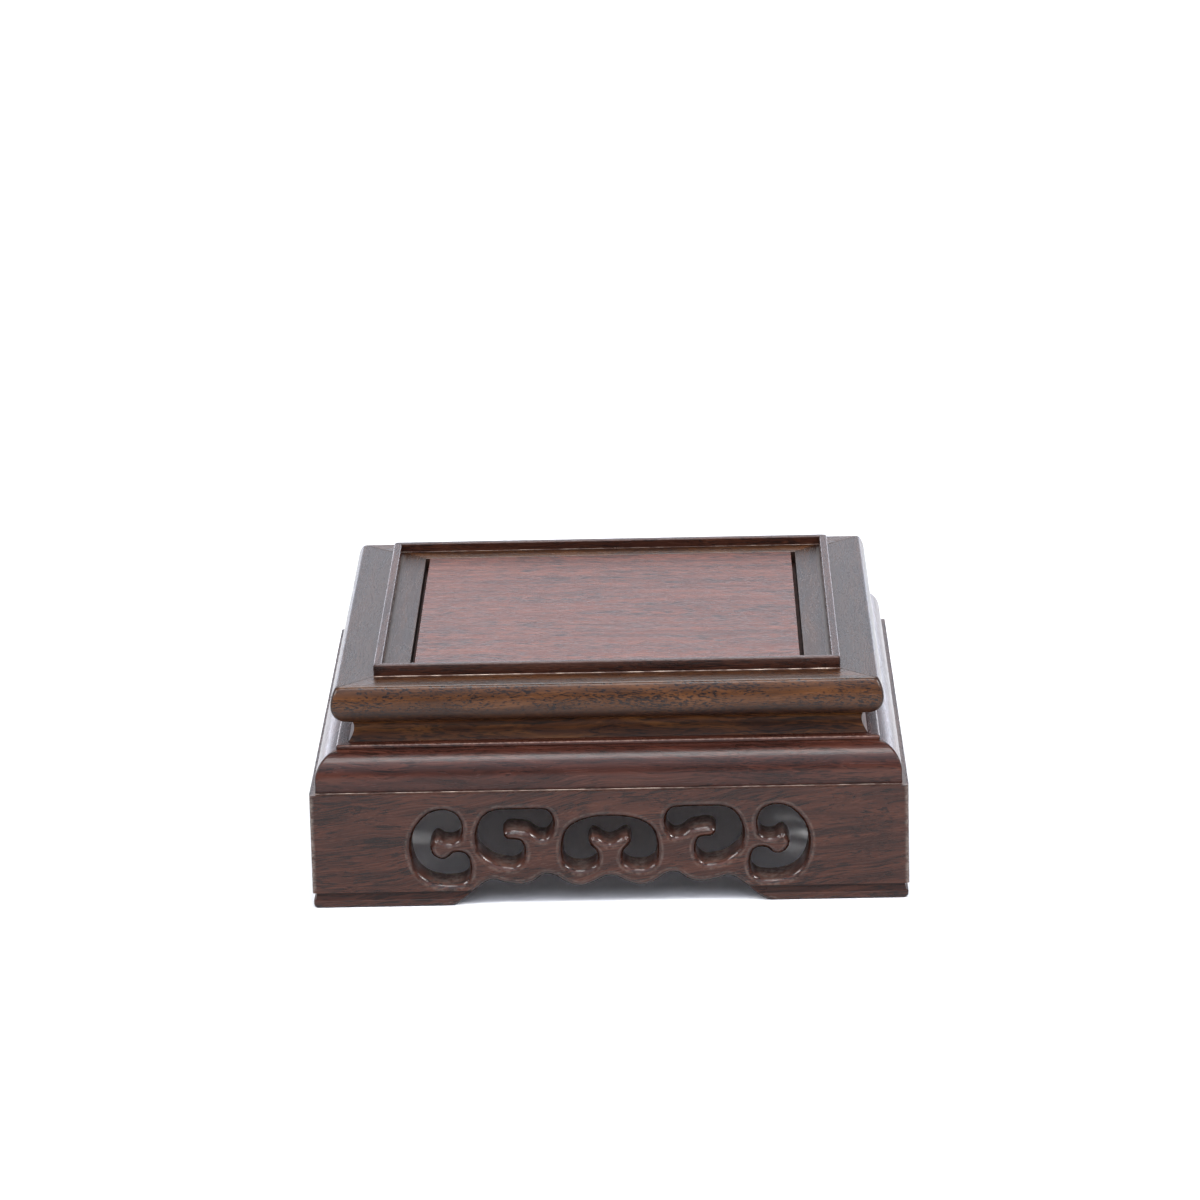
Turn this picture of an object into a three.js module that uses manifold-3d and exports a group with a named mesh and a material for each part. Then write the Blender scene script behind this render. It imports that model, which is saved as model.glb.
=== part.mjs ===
// A square stand for a bonsai pot, in dark lacquered hardwood. From the top down it is a framed and
// panelled top with a raised lip, a sunk waist, a rounded moulding and four pierced aprons whose
// ends are the feet. Every square layer is four mitred members round the middle of the stand.
// Millimetres, +Z up. The origin is on the ground under the middle of the stand. The front faces -Y.

import * as THREE from "three";
import { mergeVertices } from "three/addons/utils/BufferGeometryUtils.js";
import Module from "manifold-3d";

const wasm = await Module();
wasm.setup();

// Heights of the layers, from the ground up.
const apronHeight = 29.8;
const mouldingHeight = 11;
const waistHeight = 5.4;
const railHeight = 9.6; // up to the flat outside the lip

// The square of the base, and how far each layer stands back from the one that it follows.
const apronWidth = 150; // from face to face
const mouldingInset = 1.5; // behind the faces of the aprons
const waistInset = 8.3; // the foot of the waist, behind the face of the moulding
const railOverhang = 4.1; // the nose of the rails, beyond the foot of the waist
const lipInset = 10.55; // behind the nose of the rails
const ledgeWidth = 6.85; // from the lip to the inner edge of the rails

// Joints: how far apart two glued or sliding faces are.
const mitreGap = 0.05;
const glueLine = 0.05;
const slideGap = 0.15; // a batten or a tenon in its slot

// Aprons: the board, the bead round the foot and the groove over it.
const apronThickness = 7.2;
const footBeadHeight = 2;
const footGrooveTop = 4.5;
const footGrooveDepth = 0.9;
const footChamfer = 0.4;
const edgeEase = 0.9; // how far the eased edges of the carving stand back from its walls

// Moulding: an upright foot, a quarter round and a small step on top.
const mouldingSeat = 1; // how far it reaches inside the waist that it carries
const mouldingFoot = 3;
const mouldingRoundWidth = 6;
const mouldingRoundHeight = 6.9;
const mouldingStepInset = 5.4;
const mouldingStepEase = 0.4;

// Waist: a strip with a shallow hollow in its face.
const waistThickness = 6.2; // at its foot
const waistTopInset = 0.75;
const waistHollow = 1.4; // depth of the hollow behind the outer foot
const waistHollowShare = 0.58; // height of the deepest place, as a share of the waist

// Rails of the top frame.
const railNoseDrop = 4.8; // from the flat to the widest place of the nose
const railTopInset = 1.4; // the upper arris stands back this much from the nose
const railUndercut = 4; // and the lower edge this much
const ledgeRise = 0.7; // the ledge inside the lip is higher than the flat outside it
const railTenonWidth = 9.5;
const railTenonThickness = 2.5;
const railTenonLength = 12; // from the inner end of the mitre
const railTenonInset = 4.65; // from the inner edge of the rail
const railTenonHeight = 4.2; // from the underside of the rail to the tenon

// Lip: a strip let into the rails.
const lipThickness = 2.05;
const lipAboveFlat = 3;
const lipLetIn = 1;
const lipEase = 0.65;

// Panel, its tongue in the rails, and the batten under it.
const panelThickness = 6;
const panelGapSides = 1.05; // open joint at the left and right ends of the panel
const panelGapFront = 0.3;
const panelTongue = 3.3; // reach of the tongue into the groove
const panelTongueThickness = 2;
const panelTongueDrop = 3.2; // from the face of the panel to the tongue
const panelTongueGap = 0.2;
const battenWidth = 12;
const battenDepth = 3.8;
const battenKeyWidth = 8; // where the dovetail meets the panel
const battenKeyFlare = 1;
const battenKeyHeight = 1.4;
const battenTenonWidth = 8;
const battenTenonThickness = 2.6;
const battenTenonLength = 3.2;
const battenTenonDrop = 0.6; // from the top of the batten to the tenon

// Bamboo pegs through the moulding and the waist into the rails, and blocks in the corners.
const pegDiameter = 2.6;
const pegInset = 3.7; // from the foot of the waist to the middle of a peg
const pegSpacing = 60;
const pegSink = 0.5; // the foot of a peg stands back from the underside
const pegIntoRail = 3.8;
const pegHoleGap = 0.1;
const blockLeg = 12;
const blockHeight = 23.8;

// The carving is drawn on a board of this size and fitted to the real one.
const drawnWidth = 150;
const drawnHeight = 29.8;

// The carved openings of an apron, seen on its face: across from the middle, then up.
const outerScroll = [
  [42.2, 25.8], [45.5, 24.9], [48.1, 22.6], [49.9, 19.7], [50.7, 15.5], [50, 11.2],
  [48.5, 8.3], [46, 6.1], [43.1, 5.1], [40, 4.8], [37, 5.3], [35.2, 6.8],
  [34.4, 9.5], [35, 12.9], [36.3, 14.3], [38.3, 14.7], [40, 14.2], [41.3, 13.1],
  [42.4, 12.9], [43.9, 13.9], [44.3, 15.3], [43.3, 17], [41.7, 16.1], [39.5, 15.8],
  [37.9, 16.5], [36.8, 17.9], [36.4, 20.3], [36.7, 22.3], [38, 24.4], [40, 25.5],
];
const middleScroll = [
  [18, 25.6], [23.5, 25.65], [28.5, 25.5], [31, 24.6], [32.9, 22.5], [34.1, 19],
  [33.9, 15.3], [33.1, 13.6], [31.3, 11.7], [28.8, 10.1], [26, 9.4], [24, 9.3],
  [22.2, 10.4], [21, 12.4], [20.75, 14.2], [21.1, 15.9], [21.9, 17.2], [23.5, 17.7],
  [25.5, 17.95], [25.9, 18.7], [24.4, 19.1], [22.5, 18.9], [20.5, 18.5], [19, 17.4],
  [17.6, 16.7], [15.9, 16.7], [14.3, 18.2], [13.4, 20.5], [13.5, 22.5], [14.3, 24.3], [15.8, 25.4],
];
const centreScrollHalf = [
  [0, 23.5], [4.4, 23.2], [7.6, 22.35], [10.2, 20.9], [11.8, 18.8], [12.6, 15.2],
  [12.4, 11.5], [11.4, 9.7], [9.3, 8.4], [7.2, 8.2], [5, 8.6], [3.2, 9.8],
  [2.35, 11.7], [2.9, 14.2], [4, 15.4], [4.7, 16.4], [4.4, 17.1], [2.2, 15.7], [0, 14.8],
];
const lowerEdgeHalf = [
  [0, 8], [3.8, 6.65], [7.6, 5.3], [11.5, 6.9], [15.5, 8.8], [19, 7.4],
  [22.3, 5.95], [26.5, 6.5], [30.4, 7.3], [33.5, 5], [35.2, 3.3], [37.5, 1.2], [39.4, 0],
];
const stepsPerPoint = 1.5; // how finely the curve through those points is cut

// Levels and half widths that follow from the sizes.
const mouldingBottom = apronHeight;
const waistBottom = mouldingBottom + mouldingHeight;
const railBottom = waistBottom + waistHeight;
const railTop = railBottom + railHeight;
const ledgeTop = railTop + ledgeRise;
const panelBottom = ledgeTop - panelThickness;
const tongueTop = ledgeTop - panelTongueDrop;
const tongueBottom = tongueTop - panelTongueThickness;
const battenBottom = panelBottom - battenDepth;
const battenTenonTop = panelBottom - battenTenonDrop;
const apronInner = apronWidth / 2 - apronThickness;
const mouldingOuter = apronWidth / 2 - mouldingInset;
const waistOuter = mouldingOuter - waistInset;
const waistInner = waistOuter - waistThickness;
const railNose = waistOuter + railOverhang;
const lipOuter = railNose - lipInset;
const lipInner = lipOuter - lipThickness;
const railInner = lipInner - ledgeWidth;
const grooveInner = railInner + panelTongue + panelTongueGap;
const pegLine = waistOuter - pegInset;
const pegBottom = mouldingBottom + pegSink;
const pegTop = railBottom + pegIntoRail;

// A closed geometry as a solid that can be cut and joined.
function solidOf(geometry) {
  const bare = geometry.clone();
  bare.deleteAttribute("normal");
  bare.deleteAttribute("uv");
  const merged = mergeVertices(bare, 1e-4);
  const vertProperties = merged.attributes.position.array;
  const triVerts = new Uint32Array(merged.index.array);
  return new wasm.Manifold(new wasm.Mesh({ numProp: 3, vertProperties, triVerts }));
}

function geometryOf(solid) {
  const mesh = solid.getMesh();
  const geometry = new THREE.BufferGeometry();
  geometry.setAttribute("position", new THREE.BufferAttribute(mesh.vertProperties, 3));
  geometry.setIndex(new THREE.BufferAttribute(mesh.triVerts, 1));
  geometry.computeVertexNormals();
  return geometry;
}

// A box from its lowest to its highest corner.
function boxSolid(low, high) {
  const size = high.map((value, axis) => value - low[axis]);
  const middle = high.map((value, axis) => (value + low[axis]) / 2);
  return solidOf(new THREE.BoxGeometry(...size).translate(...middle));
}

// An upright cylinder from one level to another.
function roundSolid(diameter, x, y, bottom, top) {
  const geometry = new THREE.CylinderGeometry(diameter / 2, diameter / 2, top - bottom, 16);
  return solidOf(geometry.rotateX(Math.PI / 2).translate(x, y, (top + bottom) / 2));
}

// The front member of a square layer, mitred at both ends. Its section is drawn outwards from the
// middle of the stand and up, and each point of it runs from one mitre to the other.
function mitredMember(section) {
  const settings = { depth: 1, steps: 1, bevelEnabled: false, curveSegments: 8 };
  const geometry = new THREE.ExtrudeGeometry(section, settings);
  const place = geometry.attributes.position;
  for (let i = 0; i < place.count; i += 1) {
    const outward = place.getX(i);
    const along = (1 - 2 * place.getZ(i)) * (outward - mitreGap);
    place.setXYZ(i, along, -outward, place.getY(i));
  }
  return solidOf(geometry);
}

// A section extruded from the back of the stand to the front: across, then up.
function alongDepth(section, halfLength) {
  const settings = { depth: 2 * halfLength, steps: 1, bevelEnabled: false, curveSegments: 8 };
  const geometry = new THREE.ExtrudeGeometry(section, settings);
  return solidOf(geometry.rotateX(Math.PI / 2).translate(0, halfLength, 0));
}

function outlineOf(points) {
  return new THREE.Shape(points.map(([x, y]) => new THREE.Vector2(x, y)));
}

// The holes that the two pegs of a side go through.
function withPegHoles(member, bottom, top) {
  let drilled = member;
  for (const x of [-pegSpacing / 2, pegSpacing / 2]) {
    const hole = roundSolid(pegDiameter + 2 * pegHoleGap, x, -pegLine, bottom, top);
    drilled = drilled.subtract(hole);
  }
  return drilled;
}

// Aprons: one board to a side, with the feet, their bead and groove, and the pierced carving.
function apronSection() {
  const outer = apronWidth / 2;
  const section = new THREE.Shape();
  section.moveTo(apronInner, 0);
  section.lineTo(outer - footChamfer, 0);
  section.lineTo(outer, footChamfer);
  section.lineTo(outer, footBeadHeight);
  section.quadraticCurveTo(
    outer - footGrooveDepth, footBeadHeight + 0.2 * (footGrooveTop - footBeadHeight),
    outer - footGrooveDepth, footGrooveTop,
  );
  section.lineTo(outer, footGrooveTop);
  section.lineTo(outer, apronHeight);
  section.lineTo(apronInner, apronHeight);
  return section;
}

function fitToApron([x, z]) {
  return new THREE.Vector3((x * apronWidth) / drawnWidth, (z * apronHeight) / drawnHeight, 0);
}

function mirrored(points) {
  return points.map(([x, z]) => [-x, z]);
}

function bothHalves(half) {
  const leftHalf = mirrored(half).reverse();
  return [...half, ...leftHalf].filter(([x], i, all) => i === 0 || x !== 0 || all[i - 1][0] !== 0);
}

// Moves each point of a loop to the left of its direction of travel, which is counter-clockwise.
function shrunkLoop(loop, distance, closed) {
  const last = loop.length - 1;
  return loop.map((point, i) => {
    const before = loop[i > 0 ? i - 1 : closed ? last : 0];
    const after = loop[i < last ? i + 1 : closed ? 0 : last];
    const travel = new THREE.Vector2(after.x - before.x, after.y - before.y).normalize();
    return new THREE.Vector2(point.x - travel.y * distance, point.y + travel.x * distance);
  });
}

function smoothed(points, closed) {
  const curve = new THREE.CatmullRomCurve3(points.map(fitToApron), closed, "centripetal");
  const cut = curve.getSpacedPoints(Math.round(points.length * stepsPerPoint));
  return closed ? cut.slice(0, -1) : cut;
}

// A pierced opening: the curve on the face of the board, drawn in to the walls behind its eased edge.
function openingShape(points) {
  const loop = smoothed(points, true);
  if (THREE.ShapeUtils.isClockWise(loop)) loop.reverse();
  return new THREE.Shape(shrunkLoop(loop, edgeEase, true));
}

// The open arch between the feet, from below the ground up to the wavy lower edge.
function archShape() {
  const wave = smoothed([...mirrored(lowerEdgeHalf).reverse().slice(0, -1), ...lowerEdgeHalf], false);
  const eased = shrunkLoop(wave.reverse(), edgeEase, false);
  const first = eased[0];
  const last = eased[eased.length - 1];
  eased.push(new THREE.Vector2(last.x, -apronThickness), new THREE.Vector2(first.x, -apronThickness));
  return new THREE.Shape(eased);
}

function apronSolid() {
  const openings = [outerScroll, mirrored(outerScroll), middleScroll, mirrored(middleScroll)];
  openings.push(bothHalves(centreScrollHalf));
  const shapes = [archShape(), ...openings.map(openingShape)];
  let board = mitredMember(apronSection());
  for (const shape of shapes) {
    const halfCut = apronThickness;
    const boardMiddle = apronWidth / 2 - apronThickness / 2;
    board = board.subtract(alongDepth(shape, halfCut).translate([0, -boardMiddle, 0]));
  }
  return board;
}

// Moulding: mitred strips that stand on the aprons and carry the waist.
function mouldingSolid() {
  const outer = mouldingOuter;
  const inner = waistInner - mouldingSeat;
  const roundMiddle = outer - mouldingRoundWidth;
  const roundEnd = Math.acos((mouldingRoundWidth - mouldingStepInset) / mouldingRoundWidth);
  const roundFoot = mouldingBottom + mouldingFoot;
  const section = new THREE.Shape();
  section.moveTo(inner, mouldingBottom);
  section.lineTo(outer, mouldingBottom);
  section.lineTo(outer, roundFoot);
  section.absellipse(roundMiddle, roundFoot, mouldingRoundWidth, mouldingRoundHeight, 0, roundEnd, false, 0);
  section.lineTo(outer - mouldingStepInset, waistBottom - mouldingStepEase);
  section.lineTo(outer - mouldingStepInset - mouldingStepEase, waistBottom);
  section.lineTo(inner, waistBottom);
  return withPegHoles(mitredMember(section), mouldingBottom - pegSink, waistBottom + pegSink);
}

// Waist: thin hollowed strips between the moulding and the top frame.
function waistSolid() {
  const outer = waistOuter;
  const top = outer - waistTopInset;
  const section = new THREE.Shape();
  section.moveTo(waistInner, waistBottom);
  section.lineTo(outer, waistBottom);
  // The curve passes halfway between its handle and the middle of its ends.
  const handle = 2 * (outer - waistHollow) - (outer + top) / 2;
  section.quadraticCurveTo(handle, waistBottom + waistHollowShare * waistHeight, top, railBottom);
  section.lineTo(waistInner, railBottom);
  return withPegHoles(mitredMember(section), waistBottom - pegSink, railBottom + pegSink);
}

// Top rails: a rounded nose, a flat, a groove for the lip, a ledge and a groove for the panel.
function railSection() {
  const nose = railNose;
  const widest = railTop - railNoseDrop;
  const lipBottom = railTop - lipLetIn;
  const section = new THREE.Shape();
  section.moveTo(railInner, railBottom);
  section.lineTo(nose - railUndercut, railBottom);
  section.absellipse(nose - railUndercut, widest, railUndercut, widest - railBottom, -Math.PI / 2, 0, false, 0);
  section.quadraticCurveTo(nose, (widest + railTop) / 2, nose - railTopInset, railTop);
  section.lineTo(lipOuter + glueLine, railTop);
  section.lineTo(lipOuter + glueLine, lipBottom);
  section.lineTo(lipInner - glueLine, lipBottom);
  section.lineTo(lipInner - glueLine, ledgeTop);
  section.lineTo(railInner, ledgeTop);
  section.lineTo(railInner, tongueTop + panelTongueGap);
  section.lineTo(grooveInner, tongueTop + panelTongueGap);
  section.lineTo(grooveInner, tongueBottom - panelTongueGap);
  section.lineTo(railInner, tongueBottom - panelTongueGap);
  return section;
}

// The tenon on one end of a front or back rail, or with a gap the mortise that it enters.
function railTenon(side, gap) {
  const near = railInner + railTenonInset;
  const bottom = railBottom + railTenonHeight;
  const reach = near + railTenonLength + gap;
  const x = [near - gap, reach].map((value) => value * side).sort((a, b) => a - b);
  const low = [x[0], -near - railTenonWidth - gap, bottom - gap];
  const high = [x[1], -near + gap, bottom + railTenonThickness + gap];
  return boxSolid(low, high);
}

function battenTenon(gap) {
  const halfWidth = battenTenonWidth / 2 + gap;
  const bottom = battenTenonTop - battenTenonThickness;
  const reach = railInner + battenTenonLength + gap;
  const low = [-halfWidth, -reach, bottom - gap];
  return boxSolid(low, [halfWidth, reach, battenTenonTop + gap]);
}

function longRailSolid() {
  const rail = mitredMember(railSection()).add(railTenon(1, 0)).add(railTenon(-1, 0));
  return withPegHoles(rail.subtract(battenTenon(slideGap)), railBottom - pegSink, pegTop + pegSink);
}

function endRailSolid() {
  let rail = mitredMember(railSection());
  // The tenons of the front and back rails come from the sides of this one.
  for (const side of [-1, 1]) {
    rail = rail.subtract(railTenon(side, slideGap).rotate([0, 0, -90 * side]));
  }
  return withPegHoles(rail, railBottom - pegSink, pegTop + pegSink);
}

// Lip: mitred strips with eased corners, let into the rails.
function lipSolid() {
  const top = railTop + lipAboveFlat;
  const bottom = railTop - lipLetIn;
  const section = new THREE.Shape();
  section.moveTo(lipInner, bottom);
  section.lineTo(lipOuter, bottom);
  section.absarc(lipOuter - lipEase, top - lipEase, lipEase, 0, Math.PI / 2, false);
  section.absarc(lipInner + lipEase, top - lipEase, lipEase, Math.PI / 2, Math.PI, false);
  return mitredMember(section);
}

// Panel: a loose board with a tongue all round and a dovetail slot across the grain underneath.
function panelSolid() {
  const fieldX = railInner - panelGapSides;
  const fieldY = railInner - panelGapFront;
  const tongue = railInner + panelTongue;
  const field = boxSolid([-fieldX, -fieldY, panelBottom], [fieldX, fieldY, ledgeTop]);
  const edge = boxSolid([-tongue, -tongue, tongueBottom], [tongue, tongue, tongueTop]);
  const slot = battenKey(slideGap, panelThickness);
  return field.add(edge).subtract(alongDepth(slot, tongue + panelThickness));
}

// The dovetail of the batten, or with a gap the slot that it slides in. It reaches below the panel.
function battenKey(gap, below) {
  const foot = battenKeyWidth / 2 + gap;
  const head = foot + battenKeyFlare;
  const top = panelBottom + battenKeyHeight + gap;
  return outlineOf([
    [-foot, panelBottom - below], [foot, panelBottom - below], [foot, panelBottom],
    [head, top], [-head, top], [-foot, panelBottom],
  ]);
}

// Batten: it keeps the panel flat, and its ends are let into the front and back rails.
function battenSolid() {
  const halfWidth = battenWidth / 2;
  const halfLength = railInner - panelGapFront;
  const bar = boxSolid([-halfWidth, -halfLength, battenBottom], [halfWidth, halfLength, panelBottom]);
  const key = alongDepth(battenKey(0, battenDepth / 2), halfLength);
  return bar.add(key).add(battenTenon(0));
}

// Corner block: a triangular fillet glued behind a mitre of the aprons, under the moulding.
function blockSolid() {
  const corner = apronInner - glueLine;
  const outline = outlineOf([[corner, -corner], [corner, blockLeg - corner], [corner - blockLeg, -corner]]);
  const settings = { depth: blockHeight, steps: 1, bevelEnabled: false };
  const geometry = new THREE.ExtrudeGeometry(outline, settings);
  return solidOf(geometry.translate(0, 0, mouldingBottom - blockHeight));
}

const railWood = new THREE.MeshStandardMaterial({ color: 0x5e4334, roughness: 0.35, metalness: 0 });
const panelWood = new THREE.MeshStandardMaterial({ color: 0x7a4a3c, roughness: 0.3, metalness: 0 });
const lipWood = new THREE.MeshStandardMaterial({ color: 0x3a2620, roughness: 0.35, metalness: 0 });
const waistWood = new THREE.MeshStandardMaterial({ color: 0x54391f, roughness: 0.4, metalness: 0 });
const mouldingWood = new THREE.MeshStandardMaterial({ color: 0x5a3f38, roughness: 0.35, metalness: 0 });
const apronWood = new THREE.MeshStandardMaterial({ color: 0x503e39, roughness: 0.4, metalness: 0 });
const blockWood = new THREE.MeshStandardMaterial({ color: 0x6b4f3a, roughness: 0.7, metalness: 0 });
const bamboo = new THREE.MeshStandardMaterial({ color: 0xb99a66, roughness: 0.6, metalness: 0 });

function namedMesh(name, geometry, material) {
  const mesh = new THREE.Mesh(geometry, material);
  mesh.name = name;
  return mesh;
}

const apron = geometryOf(apronSolid());
const moulding = geometryOf(mouldingSolid());
const waist = geometryOf(waistSolid());
const longRail = geometryOf(longRailSolid());
const endRail = geometryOf(endRailSolid());
const lip = geometryOf(lipSolid());
const block = geometryOf(blockSolid());
const peg = geometryOf(roundSolid(pegDiameter, 0, 0, pegBottom, pegTop));

const stand = new THREE.Group();
const sides = [
  { side: "front", corner: "front_right", rail: longRail },
  { side: "right", corner: "back_right", rail: endRail },
  { side: "back", corner: "back_left", rail: longRail },
  { side: "left", corner: "front_left", rail: endRail },
];
sides.forEach(({ side, corner, rail }, turn) => {
  const group = new THREE.Group();
  group.rotation.z = (turn * Math.PI) / 2;
  group.add(
    namedMesh(`apron_${side}`, apron, apronWood),
    namedMesh(`corner_block_${corner}`, block, blockWood),
    namedMesh(`moulding_${side}`, moulding, mouldingWood),
    namedMesh(`waist_${side}`, waist, waistWood),
    namedMesh(`top_rail_${side}`, rail, railWood),
    namedMesh(`lip_${side}`, lip, lipWood),
  );
  for (const [hand, x] of [["a", -pegSpacing / 2], ["b", pegSpacing / 2]]) {
    const pegMesh = namedMesh(`peg_${side}_${hand}`, peg, bamboo);
    pegMesh.position.set(x, -pegLine, 0);
    group.add(pegMesh);
  }
  stand.add(group);
});
stand.add(
  namedMesh("panel", geometryOf(panelSolid()), panelWood),
  namedMesh("panel_batten", geometryOf(battenSolid()), blockWood),
);

export default stand;
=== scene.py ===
"""A square hardwood stand for a bonsai pot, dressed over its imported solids.

The sections follow the way the stand is put together, from the feet up. Shapes are worked out in
millimetres, as a joiner would, and turned to metres when a piece is finished.
"""
import math

import bmesh
import bpy
from mathutils import Matrix, Vector
from mathutils.kdtree import KDTree


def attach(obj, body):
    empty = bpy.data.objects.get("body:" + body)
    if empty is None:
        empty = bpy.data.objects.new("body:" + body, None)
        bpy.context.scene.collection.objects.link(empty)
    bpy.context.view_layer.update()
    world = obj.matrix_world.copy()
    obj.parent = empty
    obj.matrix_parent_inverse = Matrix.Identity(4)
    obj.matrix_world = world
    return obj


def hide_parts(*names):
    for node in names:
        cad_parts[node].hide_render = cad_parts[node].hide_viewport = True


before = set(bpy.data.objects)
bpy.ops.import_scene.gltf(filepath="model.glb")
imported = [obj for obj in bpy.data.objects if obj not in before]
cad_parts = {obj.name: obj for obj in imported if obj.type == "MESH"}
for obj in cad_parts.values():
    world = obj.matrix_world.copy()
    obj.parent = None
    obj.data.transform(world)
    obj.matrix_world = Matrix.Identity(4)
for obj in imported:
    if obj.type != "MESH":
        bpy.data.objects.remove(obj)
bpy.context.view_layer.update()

# Camera: a long lens about 1.4 m in front of the stand and a little above it, rolled slightly.
MM = 0.001
AIM = Vector((0, 0, 28 * MM))
CAMERA_DISTANCE = 1434.3 * MM
CAMERA_AZIMUTH = math.radians(0.861)
CAMERA_ELEVATION = math.radians(17.034)
CAMERA_ROLL = math.radians(-1.35)
PHOTO_WIDTH = 1200
FOCAL_PIXELS = 5447.7
AIM_PIXEL = Vector((608.6, 709.8))
SENSOR_WIDTH = 36

back = Vector((
    math.sin(CAMERA_AZIMUTH) * math.cos(CAMERA_ELEVATION),
    -math.cos(CAMERA_AZIMUTH) * math.cos(CAMERA_ELEVATION),
    math.sin(CAMERA_ELEVATION),
))
right = (-back).cross(Vector((0, 0, 1))).normalized()
up = right.cross(-back)
off_axis = (AIM_PIXEL - Vector((PHOTO_WIDTH, PHOTO_WIDTH)) / 2) / FOCAL_PIXELS
axis = (-back - right * off_axis.x + up * off_axis.y).normalized()
right = axis.cross(Vector((0, 0, 1))).normalized()
level = Matrix((right, right.cross(axis), -axis)).transposed()
rolled = level @ Matrix.Rotation(CAMERA_ROLL, 3, "Z")
lens = bpy.data.cameras.new("camera")
lens.sensor_width = SENSOR_WIDTH
lens.lens = SENSOR_WIDTH * FOCAL_PIXELS / PHOTO_WIDTH
lens.clip_end = 20
camera = bpy.data.objects.new("camera", lens)
camera.matrix_world = Matrix.Translation(AIM + back * CAMERA_DISTANCE) @ rolled.to_4x4()
bpy.context.scene.collection.objects.link(camera)
bpy.context.scene.camera = camera

# Studio: a cool white room with a glow low down behind. In front it is dim low down and grows bright
# towards a soft box above. There is a box to each side, a lamp for the background, and a floor of
# white board that runs out of sight.
STUDIO_WHITE = (0.94, 0.985, 1.12, 1)
DIM_SIDE = 0.3  # brightness of the room in front of the stand
FAR_SIDE = 0.63  # and behind it
LOW_GLOW = 4.2
LOW_GLOW_UP_TO = 0.22  # heights and ways are parts of a direction of length one
LOW_GLOW_BEHIND = 0.5
FRONT_GLOW = 2.3
FRONT_GLOW_UP = (0.2, 0.75)
FRONT_GLOW_OUT = (-0.15, -0.55)
FLOOR_HALF = 8


def add_node(tree, kind, inputs=None, stops=None, **settings):
    """Adds a node, sets it, and links or sets its inputs. The stops are those of a colour ramp."""
    node = tree.nodes.new(kind)
    for name, value in settings.items():
        setattr(node, name, value)
    for place, (position, colour) in enumerate(stops or []):
        elements = node.color_ramp.elements
        stop = elements[place] if place < 2 else elements.new(position)
        stop.position = position
        stop.color = colour
    for socket, value in (inputs or {}).items():
        if isinstance(value, bpy.types.NodeSocket):
            tree.links.new(value, node.inputs[socket])
        else:
            node.inputs[socket].default_value = value
    return node


def linear(code):
    """The linear colour of an sRGB hex code."""
    parts = [int(code[i : i + 2], 16) / 255 for i in (1, 3, 5)]
    return (*(p / 12.92 if p <= 0.04045 else ((p + 0.055) / 1.055) ** 2.4 for p in parts), 1)


world = bpy.data.worlds.new("white_room")
world.use_nodes = True
sky = world.node_tree
direction = add_node(sky, "ShaderNodeTexCoord").outputs["Generated"]
way_out = add_node(sky, "ShaderNodeSeparateXYZ", {0: direction})
along = add_node(
    sky, "ShaderNodeMapRange",
    {"Value": way_out.outputs["Y"], "From Min": -1, "From Max": 0.1,
     "To Min": DIM_SIDE, "To Max": FAR_SIDE},
)
low_down = add_node(
    sky, "ShaderNodeMapRange",
    {"Value": way_out.outputs["Z"], "From Max": LOW_GLOW_UP_TO, "To Min": LOW_GLOW, "To Max": 0},
)
behind = add_node(
    sky, "ShaderNodeMapRange", {"Value": way_out.outputs["Y"], "From Max": LOW_GLOW_BEHIND}
)
with_back = add_node(
    sky, "ShaderNodeMath", {0: low_down.outputs[0], 1: behind.outputs[0], 2: along.outputs[0]},
    operation="MULTIPLY_ADD",
)
rising = add_node(
    sky, "ShaderNodeMapRange",
    {"Value": way_out.outputs["Z"], "From Min": FRONT_GLOW_UP[0], "From Max": FRONT_GLOW_UP[1],
     "To Min": 0, "To Max": FRONT_GLOW},
)
before = add_node(
    sky, "ShaderNodeMapRange",
    {"Value": way_out.outputs["Y"], "From Min": FRONT_GLOW_OUT[0], "From Max": FRONT_GLOW_OUT[1]},
)
brightness = add_node(
    sky, "ShaderNodeMath", {0: rising.outputs[0], 1: before.outputs[0], 2: with_back.outputs[0]},
    operation="MULTIPLY_ADD",
)
sky.nodes["Background"].inputs["Color"].default_value = STUDIO_WHITE
sky.links.new(brightness.outputs[0], sky.nodes["Background"].inputs["Strength"])
bpy.context.scene.world = world
bpy.context.scene.view_settings.view_transform = "Standard"


def soft_light(name, place, size, power):
    """A square soft box at a place in metres, turned to the stand."""
    data = bpy.data.lights.new(name, "AREA")
    data.shape = "SQUARE"
    data.size = size
    data.energy = power
    light = bpy.data.objects.new(name, data)
    light.location = place
    light.rotation_euler = (AIM - Vector(place)).to_track_quat("-Z", "Y").to_euler()
    bpy.context.scene.collection.objects.link(light)


soft_light("overhead_box", (0, -0.41, 1.02), size=0.4, power=5.4)
soft_light("left_box", (-0.8, -0.35, 0.7), size=0.32, power=5.5)
soft_light("right_box", (0.8, -0.3, 0.7), size=0.19, power=7)
soft_light("background_lamp", (0, 1.6, 1.4), size=1, power=12)

board = bmesh.new()
bmesh.ops.create_grid(board, x_segments=1, y_segments=1, size=FLOOR_HALF)
floor_mesh = bpy.data.meshes.new("floor")
board.to_mesh(floor_mesh)
board.free()
floor = bpy.data.objects.new("floor", floor_mesh)
bpy.context.scene.collection.objects.link(floor)
white_board = bpy.data.materials.new("white_board")
white_board.use_nodes = True
white_board.node_tree.nodes["Principled BSDF"].inputs["Base Color"].default_value = linear("#ededed")
white_board.node_tree.nodes["Principled BSDF"].inputs["Roughness"].default_value = 0.9
floor_mesh.materials.append(white_board)

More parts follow.
